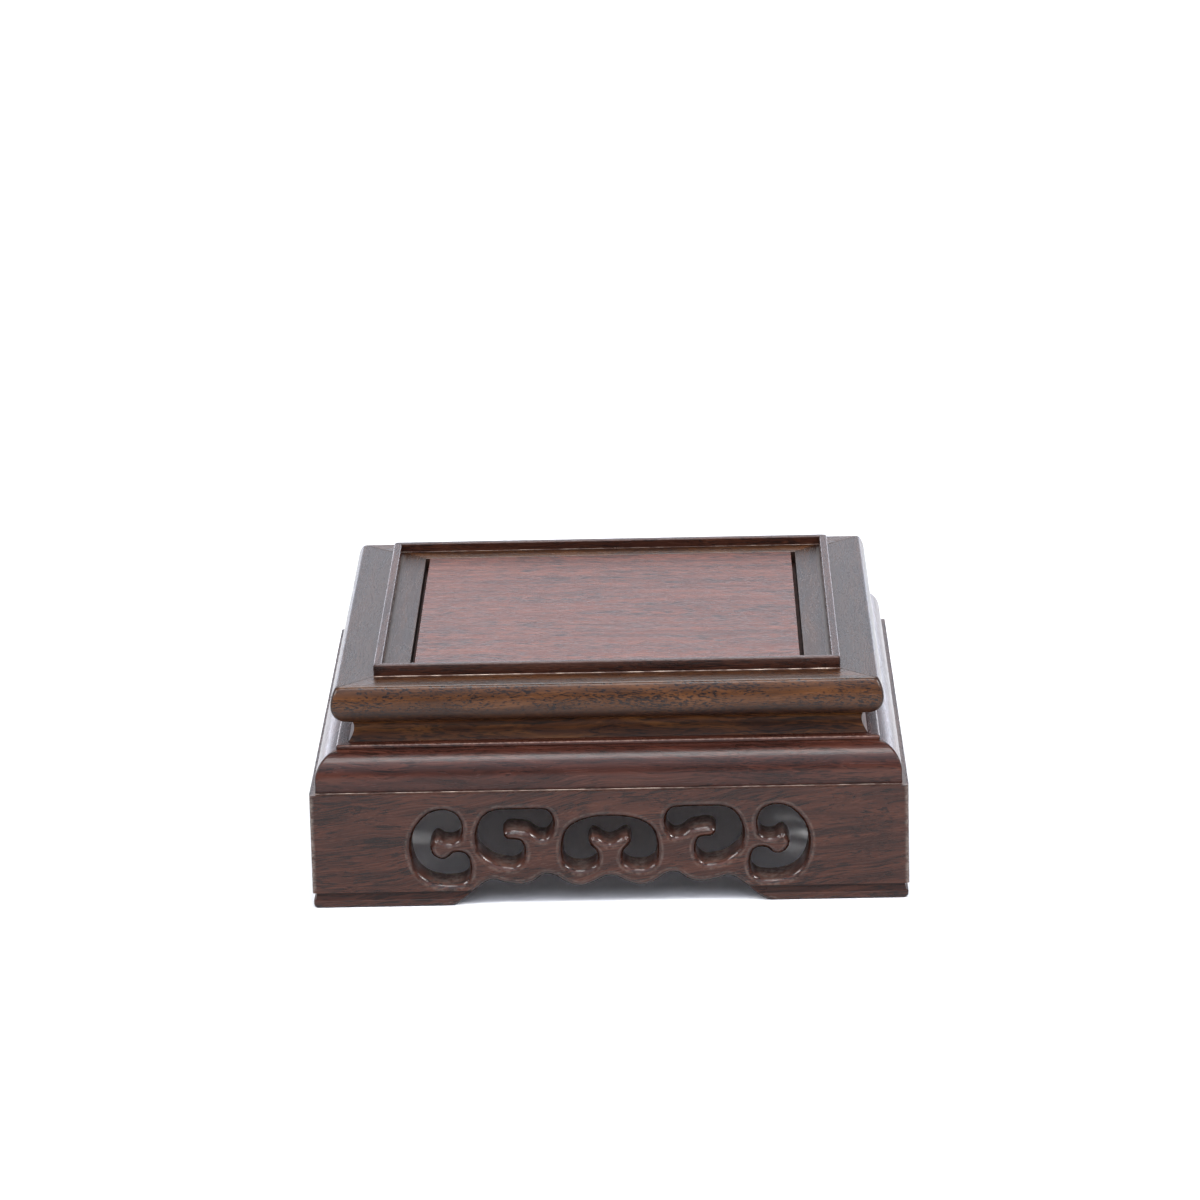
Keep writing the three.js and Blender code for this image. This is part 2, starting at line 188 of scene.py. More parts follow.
# Aprons: a hardwood board to each side, pierced with scrolls and mitred at the corners. Their ends
# are the feet, rounded below, with a sloping groove above. The carver has eased every edge of the
# carving.
SIDES = ("front", "right", "back", "left")
APRON_OUTER = 75
APRON_THICKNESS = 7.2
APRON_TOP = 29.8
APRON_CORNER_ROUND = 0.8
CORNER_WORN = 1.5  # the corner is rubbed this many times as far as it is rounded
CORNER_RUBBED = 0.6
WALL_ASIDE = 0.9  # the wall of an opening lies this far inside its outline
ARRIS_REACH = 1.0  # the rounding of an arris starts this far out in the wood, less where it is narrow
ARRIS_SHARE = 0.4  # at most this share of the wood between two openings
STRAIGHT_BEHIND = 0.55  # how squarely the other edge must lie behind an arris to narrow it
ARRIS_RADIUS = 1.8
BARE = 2  # the wear of faces that never had lacquer
# how much paler the band where an arris starts is painted, for sanding and for painted sheen
ARRIS_RUB_AND_SHEEN = 1
ARRIS_GLOSS = 0.42
ARRIS_STEPS = 9
FLARE_TURN = 72  # degrees from the face at which the flare begins
FLARE_DEPTH = 2.6
FLARE_STEPS = 5
WALL_LEAN = 0.7
WALL_SHADE_FROM = 0.3  # the share of an arris's turn past which the wall is painted dark, painted shade
WALL_SHADE_LATER = 0.45  # it begins so much later on a wall that faces up, which is painted pale instead
WALL_SHADE_FADE = 0.3
WALL_SHADE_FADE_LESS = 0.05
# how pale a wall that faces up is painted: grey dust, and painted light
DUST_AND_LIGHT = 1.05
PAINTED_LIGHT_BEHIND = 0.7  # and more painted light towards the back, where the wall lies in shade
BACK_EASE = 0.3
FOOT_ROUND = 1.3  # rounded below this, further up than inwards
FOOT_ROUND_IN = 0.8
FOOT_ROUND_LEVELS = (0.15, 0.4, 0.75, FOOT_ROUND)
FOOT_SET_BACK = 0.2
FOOT_FACE = 1.6  # the foot is upright up to here, and rounds back into the groove above
GROOVE_FOOT = 2
GROOVE_SHALLOW = 0.6
GROOVE_TOP = 4.05
GROOVE_EDGE = 0.03
GROOVE_STAIN_AND_SHADOW = 3.65  # the groove is painted near black from here up, stain and painted shadow under the face above
GROOVE_STAIN_AND_SHADOW_FADE = 0.25
WEAR_STAIN_AND_SHADOW = -1.5
WEAR_IN_GROOVE = -0.25
WEAR_ON_FOOT = -0.1
GROOVE_DULL = 0.6
GROOVE_DEPTH = 0.95
GROOVE_FROM = 33  # across from the middle, inside which the lower edge is higher than the groove
MITRE_GAP = 0.05
OUTLINE_STEP = 0.5
SPARE = 3  # how far the rough board reaches past its trimmed edges
NEAR = 0.01  # points this near to a level count as on it

OUTER_SCROLL = [
    (42.2, 25.8), (45.5, 24.9), (48.1, 22.6), (49.9, 19.7), (50.7, 15.5), (50, 11.2),
    (48.5, 8.3), (46, 6.1), (43.1, 5.1), (40, 4.8), (37, 5.3), (35.2, 6.8),
    (34.4, 9.5), (35, 12.9), (36.3, 14.3), (38.3, 14.7), (40, 14.2), (41.3, 13.1),
    (42.4, 12.9), (43.9, 13.9), (44.3, 15.3), (43.3, 17), (41.7, 16.1), (39.5, 15.8),
    (37.9, 16.5), (36.8, 17.9), (36.4, 20.3), (36.7, 22.3), (38, 24.4), (40, 25.5),
]
MIDDLE_SCROLL = [
    (18, 25.6), (23.5, 25.65), (28.5, 25.5), (31, 24.6), (32.9, 22.5), (34.1, 19),
    (33.9, 15.3), (33.1, 13.6), (31.3, 11.7), (28.8, 10.1), (26, 9.4), (24, 9.3),
    (22.2, 10.4), (21, 12.4), (20.75, 14.2), (21.1, 15.9), (21.9, 17.2), (23.5, 17.7),
    (25.5, 17.95), (25.9, 18.7), (24.4, 19.1), (22.5, 18.9), (20.5, 18.5), (19, 17.4),
    (17.6, 16.7), (15.9, 16.7), (14.3, 18.2), (13.4, 20.5), (13.5, 22.5), (14.3, 24.3), (15.8, 25.4),
]
CENTRE_SCROLL_HALF = [
    (0, 23.5), (4.4, 23.2), (7.6, 22.35), (10.2, 20.9), (11.8, 18.8), (12.6, 15.2),
    (12.4, 11.5), (11.4, 9.7), (9.3, 8.4), (7.2, 8.2), (5, 8.6), (3.2, 9.8),
    (2.35, 11.7), (2.9, 14.2), (4, 15.4), (4.6, 16.3), (4.2, 17), (3.2, 16.6), (1.9, 15.7), (0, 15.1),
]
LOWER_EDGE_HALF = [
    (0, 7.8), (1.8, 7.5), (4.4, 6.2), (7.6, 5.3), (10.8, 6.2), (13.6, 8), (15.5, 8.5), (17.4, 8.2),
    (19.6, 6.7), (22.3, 5.95), (26.5, 6.5), (29, 7.25), (31.2, 6.9), (33.8, 5.2), (35.8, 3.6), (37.5, 2),
    (39.2, 0.9), (41.4, 0.1), (44, -1),
]


def mirrored(points):
    return [(-x, z) for x, z in reversed(points)]


def smooth_line(points, closed):
    """Points at even steps on a centripetal curve through the given ones."""
    spots = [Vector(p) for p in points]
    if closed:
        spots = [spots[-1], *spots, spots[0], spots[1]]
    else:
        spots = [2 * spots[0] - spots[1], *spots, 2 * spots[-1] - spots[-2]]
    line = []
    for a, b, c, d in zip(spots, spots[1:], spots[2:], spots[3:]):
        t0 = 0
        t1 = t0 + math.sqrt((b - a).length)
        t2 = t1 + math.sqrt((c - b).length)
        t3 = t2 + math.sqrt((d - c).length)
        steps = max(1, round((c - b).length / OUTLINE_STEP))
        for step in range(steps):
            t = t1 + (t2 - t1) * step / steps
            ab = a.lerp(b, (t - t0) / (t1 - t0))
            bc = b.lerp(c, (t - t1) / (t2 - t1))
            cd = c.lerp(d, (t - t2) / (t3 - t2))
            abc = ab.lerp(bc, (t - t0) / (t2 - t0))
            bcd = bc.lerp(cd, (t - t1) / (t3 - t1))
            line.append(abc.lerp(bcd, (t - t1) / (t2 - t1)))
    if not closed:
        line.append(spots[-2])
    return line


def area_of(loop):
    return sum(a.cross(b) for a, b in zip(loop, loop[1:] + loop[:1])) / 2


def open_ways(loop):
    """The way to the open side at each point of a loop that has it on its left."""
    spots = zip(loop[-1:] + loop[:-1], loop[1:] + loop[:1])
    return [Vector((a.y - b.y, b.x - a.x)).normalized() for a, b in spots]


def rooms_in_wood(loops):
    """How far an arris may reach at each point of the loops: less than half of the wood behind it."""
    points = [(spot, way) for loop in loops for spot, way in zip(loop, open_ways(loop))]
    tree = KDTree(len(points))
    for place, (spot, way) in enumerate(points):
        tree.insert(spot.to_3d(), place)
    tree.balance()
    rooms = []
    for spot, way in points:
        room = ARRIS_REACH
        for found, place, distance in tree.find_range(spot.to_3d(), ARRIS_REACH / ARRIS_SHARE):
            if distance > 0 and (found.to_2d() - spot).dot(way) < -STRAIGHT_BEHIND * distance:
                room = min(room, ARRIS_SHARE * distance)
        rooms.append(room)
    return rooms


def add_loop(bm, loop, rooms, layers):
    """Adds a closed loop of edges whose vertices know their place, the open side and their room."""
    verts = []
    for spot, way, room in zip(loop, open_ways(loop), rooms):
        vert = bm.verts.new((spot.x, -APRON_OUTER, spot.y))
        vert[layers["spot"]] = vert.co
        vert[layers["open_way"]] = Vector((way.x, 0, way.y))
        vert[layers["room"]] = room
        verts.append(vert)
    return [bm.edges.new(pair) for pair in zip(verts, verts[1:] + verts[:1])]


def place_ring(edges, layers, ring):
    """Puts the vertices of a ring where its row says: share of the reach, aside, inward and depth."""
    share, aside, inward, depth = ring
    for vert in {v for e in edges for v in e.verts}:
        room = vert[layers["room"]]
        vert.co = vert[layers["spot"]] + vert[layers["open_way"]] * (aside - share * room)
        vert.co.y += inward
        # The band where the arris starts is painted a little paler, for sanding and for painted sheen, and
        # the lacquer is thick on the arris. The walls are painted dark as painted shade; those that face
        # up are dull and painted pale instead, for grey dust and painted light, begin deeper, and are
        # painted paler towards the back, where they lie in shade. They also lean: the opening is a little
        # smaller at the back.
        facing_up = max(0, vert[layers["open_way"]].z)
        across = inward / APRON_THICKNESS
        vert.co.z += WALL_LEAN * facing_up * across
        past = depth - WALL_SHADE_FROM - WALL_SHADE_LATER * facing_up
        wall_shade_and_dust = min(1, max(0, past / (WALL_SHADE_FADE - WALL_SHADE_FADE_LESS * facing_up)))
        dust_and_light = wall_shade_and_dust * (facing_up * (DUST_AND_LIGHT + PAINTED_LIGHT_BEHIND * across) - 1)
        vert[layers["wear_and_shade"]] = ARRIS_RUB_AND_SHEEN * share * (1 - share) + dust_and_light
        vert[layers["dull"]] = wall_shade_and_dust * facing_up - ARRIS_GLOSS * math.sin(math.pi * depth) ** 2


def push_ring(bm, edges, layers, ring):
    """Draws the edges out into a ring of walls and returns the edges of its far side."""
    made = bmesh.ops.extrude_edge_only(bm, edges=edges)["geom"]
    far = {g for g in made if isinstance(g, bmesh.types.BMVert)}
    drawn = [g for g in made if isinstance(g, bmesh.types.BMEdge) and set(g.verts) <= far]
    place_ring(drawn, layers, ring)
    return drawn


def trim(bm, point, normal):
    """Saws the board flat and closes the cut."""
    geometry = [*bm.verts, *bm.edges, *bm.faces]
    cut = bmesh.ops.bisect_plane(
        bm, geom=geometry, dist=1e-5, plane_co=point, plane_no=normal, clear_outer=True
    )["geom_cut"]
    edges = [g for g in cut if isinstance(g, bmesh.types.BMEdge)]
    bmesh.ops.triangle_fill(bm, use_beauty=True, edges=edges, normal=normal)


def score(bm, point, normal):
    geometry = [*bm.verts, *bm.edges, *bm.faces]
    bmesh.ops.bisect_plane(bm, geom=geometry, dist=1e-5, plane_co=point, plane_no=normal)


def groove_depth(z):
    """How far the face stands back at a height in the foot: rounding, face, then a sloping groove."""
    if z < FOOT_ROUND:
        share = 1 - max(0, z) / FOOT_ROUND
        return FOOT_SET_BACK + FOOT_ROUND_IN * (1 - math.sqrt(1 - share * share))
    if z < GROOVE_FOOT:
        share = max(0, z - FOOT_FACE) / (GROOVE_FOOT - FOOT_FACE)
        return FOOT_SET_BACK + (GROOVE_SHALLOW - FOOT_SET_BACK) * (1 - math.sqrt(1 - share * share))
    if z < GROOVE_TOP - GROOVE_EDGE / 2:
        share = (z - GROOVE_FOOT) / (GROOVE_TOP - GROOVE_FOOT)
        return GROOVE_SHALLOW + (GROOVE_DEPTH - GROOVE_SHALLOW) * share
    return 0


def rounded_corner(across, outward, radius):
    """Where a point on a member's outer face goes when the corner of the square is rounded."""
    start = outward - radius
    if radius == 0 or abs(across) <= start:
        return across, outward
    angle = math.radians(45) * min(1, (abs(across) - start) / radius)
    turned_across = start + radius * math.sin(angle)
    return math.copysign(turned_across, across), start + radius * math.cos(angle)


ANOTHER_PLANK = Vector((310, 47, 29))  # each side is sawn this far from the last in its wood
SHARP_FROM = 38  # degrees


def finish_piece(bm, name, turn, node, material, tone=0.0):
    """Turns a front piece to its side, notes its grain and tone, and makes the finished object."""
    board_tone = bm.verts.layers.float.new("tone")
    wear_and_shade = bm.verts.layers.float["wear_and_shade"]
    if "dull" not in bm.verts.layers.float:
        dull = bm.verts.layers.float.new("dull")
        for vert in bm.verts:
            vert[dull] = max(0, -vert[wear_and_shade]) ** 3  # only deep stain and painted shade are dull
    grain = bm.verts.layers.float_vector.new("grain")
    for vert in bm.verts:
        vert[grain] = vert.co + ANOTHER_PLANK * turn
        vert[board_tone] = tone
    bmesh.ops.recalc_face_normals(bm, faces=bm.faces)
    turn_matrix = Matrix.Rotation(turn * math.pi / 2, 3, "Z")
    bmesh.ops.rotate(bm, cent=(0, 0, 0), matrix=turn_matrix, verts=bm.verts)
    bmesh.ops.scale(bm, vec=(MM, MM, MM), verts=bm.verts)
    mesh = bpy.data.meshes.new(name)
    bm.to_mesh(mesh)
    bm.free()
    mesh.shade_smooth()
    mesh.set_sharp_from_angle(angle=math.radians(SHARP_FROM))
    mesh.materials.append(material)
    piece = bpy.data.objects.new(name, mesh)
    bpy.context.scene.collection.objects.link(piece)
    even = piece.modifiers.new("even_normals", "WEIGHTED_NORMAL")
    even.weight = 100
    even.keep_sharp = True
    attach(piece, "root")
    if node:
        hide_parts(node)
    return piece


def apron_board():
    bm = bmesh.new()
    layers = {name: bm.verts.layers.float_vector.new(name) for name in ("spot", "open_way")}
    layers |= {name: bm.verts.layers.float.new(name) for name in ("room", "wear_and_shade", "dull")}
    end = APRON_OUTER + SPARE
    edge = smooth_line(mirrored(LOWER_EDGE_HALF)[:-1] + LOWER_EDGE_HALF, False)
    outline = [*edge, Vector((end, -SPARE)), Vector((end, APRON_TOP + SPARE))]
    outline += [Vector((-end, APRON_TOP + SPARE)), Vector((-end, -SPARE))]
    centre = CENTRE_SCROLL_HALF + mirrored(CENTRE_SCROLL_HALF)[1:-1]
    scrolls = (OUTER_SCROLL, mirrored(OUTER_SCROLL), MIDDLE_SCROLL, mirrored(MIDDLE_SCROLL), centre)
    # The open side lies on the left: inside the scrolls and outside the board.
    loops = [smooth_line(scroll, True) for scroll in scrolls]
    loops = [loop if area_of(loop) > 0 else loop[::-1] for loop in loops]
    loops.append(outline if area_of(outline) < 0 else outline[::-1])
    rooms = rooms_in_wood(loops)
    front = []
    for loop in loops:
        front += add_loop(bm, loop, rooms[: len(loop)], layers)
        rooms = rooms[len(loop) :]
    place_ring(front, layers, (1, 0, 0, 0))
    rings = []
    for step in range(1, ARRIS_STEPS + 1):
        turned = math.radians(FLARE_TURN * step / ARRIS_STEPS)
        aside = ARRIS_RADIUS * math.sin(turned) - ARRIS_REACH
        inward = ARRIS_RADIUS * (1 - math.cos(turned))
        rings.append((max(0, -aside / ARRIS_REACH), max(0, aside), inward, step / ARRIS_STEPS))
    widest = math.sin(turned)
    flattest = math.cos(turned)
    for step in range(1, FLARE_STEPS + 1):
        turned = math.radians(FLARE_TURN + (90 - FLARE_TURN) * step / FLARE_STEPS)
        across = (math.sin(turned) - widest) / (1 - widest)
        deeper = 1 - math.cos(turned) / flattest
        flared = (aside + (WALL_ASIDE - aside) * across, inward + FLARE_DEPTH * deeper)
        rings.append((0, *flared, 1))
    rings.append((0, WALL_ASIDE, APRON_THICKNESS - BACK_EASE, 1))
    rings.append((0, WALL_ASIDE - BACK_EASE, APRON_THICKNESS, 0))
    edges = front
    for ring in rings:
        edges = push_ring(bm, edges, layers, ring)
    # The inner face has no lacquer, and is grey with dust.
    for vert in {v for e in edges for v in e.verts}:
        vert.co.y = APRON_THICKNESS - APRON_OUTER
        vert[layers["wear_and_shade"]] = BARE
        vert[layers["dull"]] = 1
    bmesh.ops.triangle_fill(bm, use_beauty=True, edges=front, normal=(0, -1, 0))
    bmesh.ops.triangle_fill(bm, use_beauty=True, edges=edges, normal=(0, 1, 0))
    trim(bm, (0, 0, APRON_TOP), (0, 0, 1))
    trim(bm, (0, 0, 0), (0, 0, -1))
    wear_and_shade = layers["wear_and_shade"]
    round_over = GROOVE_FOOT - FOOT_FACE
    rounded = [FOOT_FACE + round_over * math.sin(math.radians(angle)) for angle in range(0, 91, 15)]
    levels = (*FOOT_ROUND_LEVELS, *rounded, GROOVE_STAIN_AND_SHADOW - GROOVE_STAIN_AND_SHADOW_FADE, GROOVE_STAIN_AND_SHADOW)
    for level in (*levels, GROOVE_TOP - GROOVE_EDGE, GROOVE_TOP):
        score(bm, (0, 0, level), (0, 0, 1))
    for vert in bm.verts:
        sunk = groove_depth(vert.co.z) - APRON_OUTER
        if abs(vert.co.x) > GROOVE_FROM and sunk > vert.co.y:
            vert.co.y = sunk
            # At the top of the groove the wood is painted near black, for stain and for the shadow under
            # the face above; lower down it is a little darker and glossier.
            if vert.co.z > FOOT_FACE - NEAR:
                in_slope = GROOVE_FOOT + NEAR < vert.co.z < GROOVE_STAIN_AND_SHADOW - NEAR
                vert[wear_and_shade] = WEAR_STAIN_AND_SHADOW if vert.co.z > GROOVE_STAIN_AND_SHADOW - NEAR else WEAR_IN_GROOVE
                vert[layers["dull"]] = 0 if in_slope else GROOVE_DULL
            elif vert.co.z > FOOT_ROUND - NEAR:
                vert[wear_and_shade] = WEAR_ON_FOOT
    for share in (3, CORNER_WORN, 1, 0.66, 0.33):
        for side in (-1, 1):
            score(bm, (side * (APRON_OUTER - share * APRON_CORNER_ROUND), 0, 0), (1, 0, 0))
    for side in (-1, 1):
        corner = APRON_OUTER - MITRE_GAP
        trim(bm, (side * corner, -APRON_OUTER, 0), (side, 1, 0))
    for vert in bm.verts:
        outward = -vert.co.y
        if outward > APRON_OUTER - GROOVE_DEPTH - NEAR:
            beyond = (abs(vert.co.x) - outward) / APRON_CORNER_ROUND + CORNER_WORN
            if beyond > 0 and vert.co.z > GROOVE_TOP - NEAR:
                vert[wear_and_shade] = CORNER_RUBBED * beyond
            vert.co.x, outward = rounded_corner(vert.co.x, outward, APRON_CORNER_ROUND)
            vert.co.y = -outward
    return bm


# The near-black brown the wood is darkened towards: real stain in the mitres and joints, and painted shade
# on the walls of the openings, in the groove of the feet, under the rails' nose and in the panel's open
# joints.
STAIN_AND_SHADE = "#1d0c07"
LACQUER_IOR = 1.4
DULL_ROUGHNESS = 0.45  # how much rougher the dullest wood is
BAND_SIZE = (60, 2.6)  # length and width in mm of the bands of colour
PATCH_SIZE = (25, 6)  # and of the patches where veins are strong
CROWD_SIZE = (30, 5)  # and of those where pores crowd together
VEIN_LENGTH = 90
WANDER = 9


def rosewood(
    name, colours, grain_tilt=0.0, veins=0.5, vein_gap=5.0, pore_size=(4.5, 0.34), pore_start=0.76,
    pores=0.7, fibre_size=(12, 0.36), streaks=0.14, roughness=0.25, specular=0.38,
):
    """Dark rosewood under brushed lacquer. The lacquer gives the sheen, and fills the pores only in
    part, so they still show as short dark dashes, here a little coarser than real ones. Veins run
    nearly black along the grain. Where the wear attribute is above nothing the wood is paled, for
    rubbing, and on the carving also for dust, painted sheen and painted light; below nothing it is
    darkened, for stain in joints and for painted shade in recesses. Where dull is above nothing the
    brush didn't reach and little shines, and below it the lacquer lies thick and glossy. Sizes are
    in mm, along and across the grain."""
    dark, middle, light, vein_colour, worn_and_lit = [linear(c) for c in colours]
    material = bpy.data.materials.new(name)
    material.use_nodes = True
    tree = material.node_tree
    shader = tree.nodes["Principled BSDF"]
    grain = add_node(tree, "ShaderNodeAttribute", attribute_name="grain").outputs["Vector"]
    tone = add_node(tree, "ShaderNodeAttribute", attribute_name="tone").outputs["Fac"]
    wear_and_shade = add_node(tree, "ShaderNodeAttribute", attribute_name="wear_and_shade").outputs["Fac"]
    dull = add_node(tree, "ShaderNodeAttribute", attribute_name="dull").outputs["Fac"]
    tilted = add_node(tree, "ShaderNodeMapping", {"Vector": grain, "Rotation": (0, grain_tilt, 0.03)})
    # A slow drift makes the grain wander by some millimetres over the length of a board.
    drift = add_node(
        tree, "ShaderNodeMapping", {"Vector": tilted.outputs[0], "Scale": (0.022, 0.05, 0.07)}
    )
    wander = add_node(tree, "ShaderNodeTexNoise", {"Vector": drift.outputs[0], "Scale": 1, "Detail": 2})
    shift = add_node(
        tree, "ShaderNodeVectorMath",
        {0: wander.outputs["Color"], 1: (0, WANDER, WANDER), 2: tilted.outputs[0]},
        operation="MULTIPLY_ADD",
    )

    def drawn_out(length, width, detail, rough=0.55):
        """Noise whose spots have a length along the grain and a width across it."""
        scale = (1 / length, 1 / width, 1 / width)
        placed = add_node(tree, "ShaderNodeMapping", {"Vector": shift.outputs[0], "Scale": scale})
        noise = add_node(
            tree, "ShaderNodeTexNoise",
            {"Vector": placed.outputs[0], "Scale": 1, "Detail": detail, "Roughness": rough},
        )
        return noise.outputs["Fac"]

    body = add_node(
        tree, "ShaderNodeValToRGB", {"Fac": drawn_out(*BAND_SIZE, 4, 0.6)},
        stops=[(0.34, dark), (0.66, light), (0.5, middle)],
    )
    fibres = drawn_out(*fibre_size, 3)
    fine = add_node(
        tree, "ShaderNodeMapRange",
        {"Value": fibres, "From Min": 0.3, "From Max": 0.7,
         "To Min": 1 - streaks, "To Max": 1 + streaks},
    )
    toned = add_node(
        tree, "ShaderNodeMath", {0: fine.outputs[0], 1: tone, 2: fine.outputs[0]},
        operation="MULTIPLY_ADD",
    )
    fibred = add_node(
        tree, "ShaderNodeVectorMath", {0: body.outputs["Color"], "Scale": toned.outputs[0]},
        operation="SCALE",
    )
    # A vein is where its noise passes through the middle, stronger in some places than in others.
    vein_line = add_node(
        tree, "ShaderNodeValToRGB", {"Fac": drawn_out(VEIN_LENGTH, vein_gap, 4, 0.6)},
        stops=[(0.465, (0, 0, 0, 1)), (0.535, (0, 0, 0, 1)), (0.5, (1, 1, 1, 1))],
    )
    vein_strength = add_node(
        tree, "ShaderNodeMapRange",
        {"Value": drawn_out(*PATCH_SIZE, 2), "From Min": 0.35, "From Max": 0.6,
         "To Min": 0.2 * veins, "To Max": veins},
    )
    vein_share = add_node(
        tree, "ShaderNodeMath", {0: vein_line.outputs["Color"], 1: vein_strength.outputs[0]},
        operation="MULTIPLY",
    )
    veined = add_node(
        tree, "ShaderNodeMix", {0: vein_share.outputs[0], 6: fibred.outputs[0], 7: vein_colour},
        data_type="RGBA",
    )
    # Pores crowd together in some places.
    pore_field = add_node(
        tree, "ShaderNodeMath", {0: drawn_out(*CROWD_SIZE, 2), 1: 0.4, 2: drawn_out(*pore_size, 2)},
        operation="MULTIPLY_ADD",
    )
    pore = add_node(
        tree, "ShaderNodeMapRange",
        {"Value": pore_field.outputs[0], "From Min": pore_start, "From Max": pore_start + 0.05,
         "To Min": 0, "To Max": pores},
    )
    pored = add_node(
        tree, "ShaderNodeMix", {0: pore.outputs[0], 6: veined.outputs[2], 7: vein_colour},
        data_type="RGBA",
    )
    # Rubbed and stained places, and painted light and shade, are patchy, in spots of about a millimetre.
    rub_spots = add_node(
        tree, "ShaderNodeTexNoise", {"Vector": grain, "Scale": 0.9, "Detail": 4, "Roughness": 0.7}
    )
    rub_and_paint = add_node(
        tree, "ShaderNodeMapRange",
        {"Value": rub_spots.outputs["Fac"], "From Min": 0.4, "From Max": 0.62,
         "To Min": 0.1, "To Max": 0.8},
    )
    rubbed_and_lit_share = add_node(
        tree, "ShaderNodeMath", {0: wear_and_shade, 1: rub_and_paint.outputs[0]}, operation="MULTIPLY", use_clamp=True
    )
    rubbed_and_painted = add_node(
        tree, "ShaderNodeMix", {0: rubbed_and_lit_share.outputs[0], 6: pored.outputs[2], 7: worn_and_lit},
        data_type="RGBA",
    )
    patchy = add_node(
        tree, "ShaderNodeMapRange",
        {"Value": rub_spots.outputs["Fac"], "From Min": 0.4, "From Max": 0.62,
         "To Min": -0.95, "To Max": -0.6},
    )
    stain_and_shade_share = add_node(
        tree, "ShaderNodeMath", {0: wear_and_shade, 1: patchy.outputs[0]}, operation="MULTIPLY", use_clamp=True
    )
    stained_and_shaded = add_node(
        tree, "ShaderNodeMix",
        {0: stain_and_shade_share.outputs[0], 6: rubbed_and_painted.outputs[2], 7: linear(STAIN_AND_SHADE)}, data_type="RGBA",
    )
    tree.links.new(stained_and_shaded.outputs[2], shader.inputs["Base Color"])
    sheen = add_node(
        tree, "ShaderNodeMapRange",
        {"Value": fibres, "From Min": 0.3, "From Max": 0.7,
         "To Min": roughness - 0.04, "To Max": roughness + 0.06},
    )
    dulled = add_node(
        tree, "ShaderNodeMath", {0: dull, 1: DULL_ROUGHNESS, 2: sheen.outputs[0]},
        operation="MULTIPLY_ADD",
    )
    tree.links.new(dulled.outputs[0], shader.inputs["Roughness"])
    shader.inputs["IOR"].default_value = LACQUER_IOR
    shader.inputs["Specular IOR Level"].default_value = specular
    # The fibres stand up a little through the lacquer, and the pores are dents in it.
    relief = add_node(
        tree, "ShaderNodeMath", {0: pore.outputs[0], 1: -0.6, 2: fibres}, operation="MULTIPLY_ADD"
    )
    bump = add_node(
        tree, "ShaderNodeBump", {"Height": relief.outputs[0], "Strength": 0.2, "Distance": 0.06 * MM}
    )
    tree.links.new(bump.outputs[0], shader.inputs["Normal"])
    return material


apron_wood = rosewood(
    "apron_rosewood", ("#2b160f", "#391e15", "#43251a", "#110a09", "#887d74"),
    grain_tilt=0.12, veins=0.6, vein_gap=4, pores=0.8, pore_size=(7.5, 0.34), pore_start=0.755,
)
carved_board = apron_board()
for turn, side in enumerate(SIDES):
    finish_piece(carved_board.copy(), f"{side}_apron", turn, f"apron_{side}", apron_wood)
carved_board.free()


def bare_wood(name, dark, light, grain_scale):
    """Planed wood with no lacquer, dull and dry, its grain drawn along one axis of the object."""
    material = bpy.data.materials.new(name)
    material.use_nodes = True
    tree = material.node_tree
    shader = tree.nodes["Principled BSDF"]
    place = add_node(tree, "ShaderNodeTexCoord").outputs["Object"]
    placed = add_node(tree, "ShaderNodeMapping", {"Vector": place, "Scale": grain_scale})
    noise = add_node(
        tree, "ShaderNodeTexNoise",
        {"Vector": placed.outputs[0], "Scale": 1, "Detail": 5, "Roughness": 0.6},
    )
    body = add_node(
        tree, "ShaderNodeValToRGB", {"Fac": noise.outputs["Fac"]},
        stops=[(0.3, linear(dark)), (0.7, linear(light))],
    )
    tree.links.new(body.outputs["Color"], shader.inputs["Base Color"])
    shader.inputs["Roughness"].default_value = 0.7
    bump = add_node(
        tree, "ShaderNodeBump",
        {"Height": noise.outputs["Fac"], "Strength": 0.3, "Distance": 0.1 * MM},
    )
    tree.links.new(bump.outputs[0], shader.inputs["Normal"])
    return material


def dress_node(node, material):
    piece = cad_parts[node]
    piece.data.materials.clear()
    piece.data.materials.append(material)


block_wood = bare_wood("planed_hardwood_upright", "#4b3426", "#7a5a42", (1600, 1600, 60))
batten_wood = bare_wood("planed_hardwood_batten", "#4b3426", "#7a5a42", (1600, 60, 1600))
split_bamboo = bare_wood("split_bamboo", "#9d8050", "#cbb07c", (3000, 3000, 80))
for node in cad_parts:
    if node.startswith("corner_block"):
        dress_node(node, block_wood)
    if node.startswith("peg_"):
        dress_node(node, split_bamboo)

# Moulding: an upright foot, a quarter round and a small step, planed in one strip to each side and
# mitred. It stands on the aprons, a little back from their faces.
MOULDING_OUTER = 73.5
MOULDING_INNER = 58
MOULDING_TOP = 40.8
MOULDING_FOOT = 3
ROUND_WIDTH = 6
ROUND_HEIGHT = 6.9
STEP_INSET = 5.4
CORNER_ROUND = 0.5
ROUNDED_IN = 12  # a corner is rounded on points less than this far in from the outer face
ROUNDED_OUT = 58  # and further out than this, which leaves the lip's inner corners square
MITRE_STAIN = -0.9


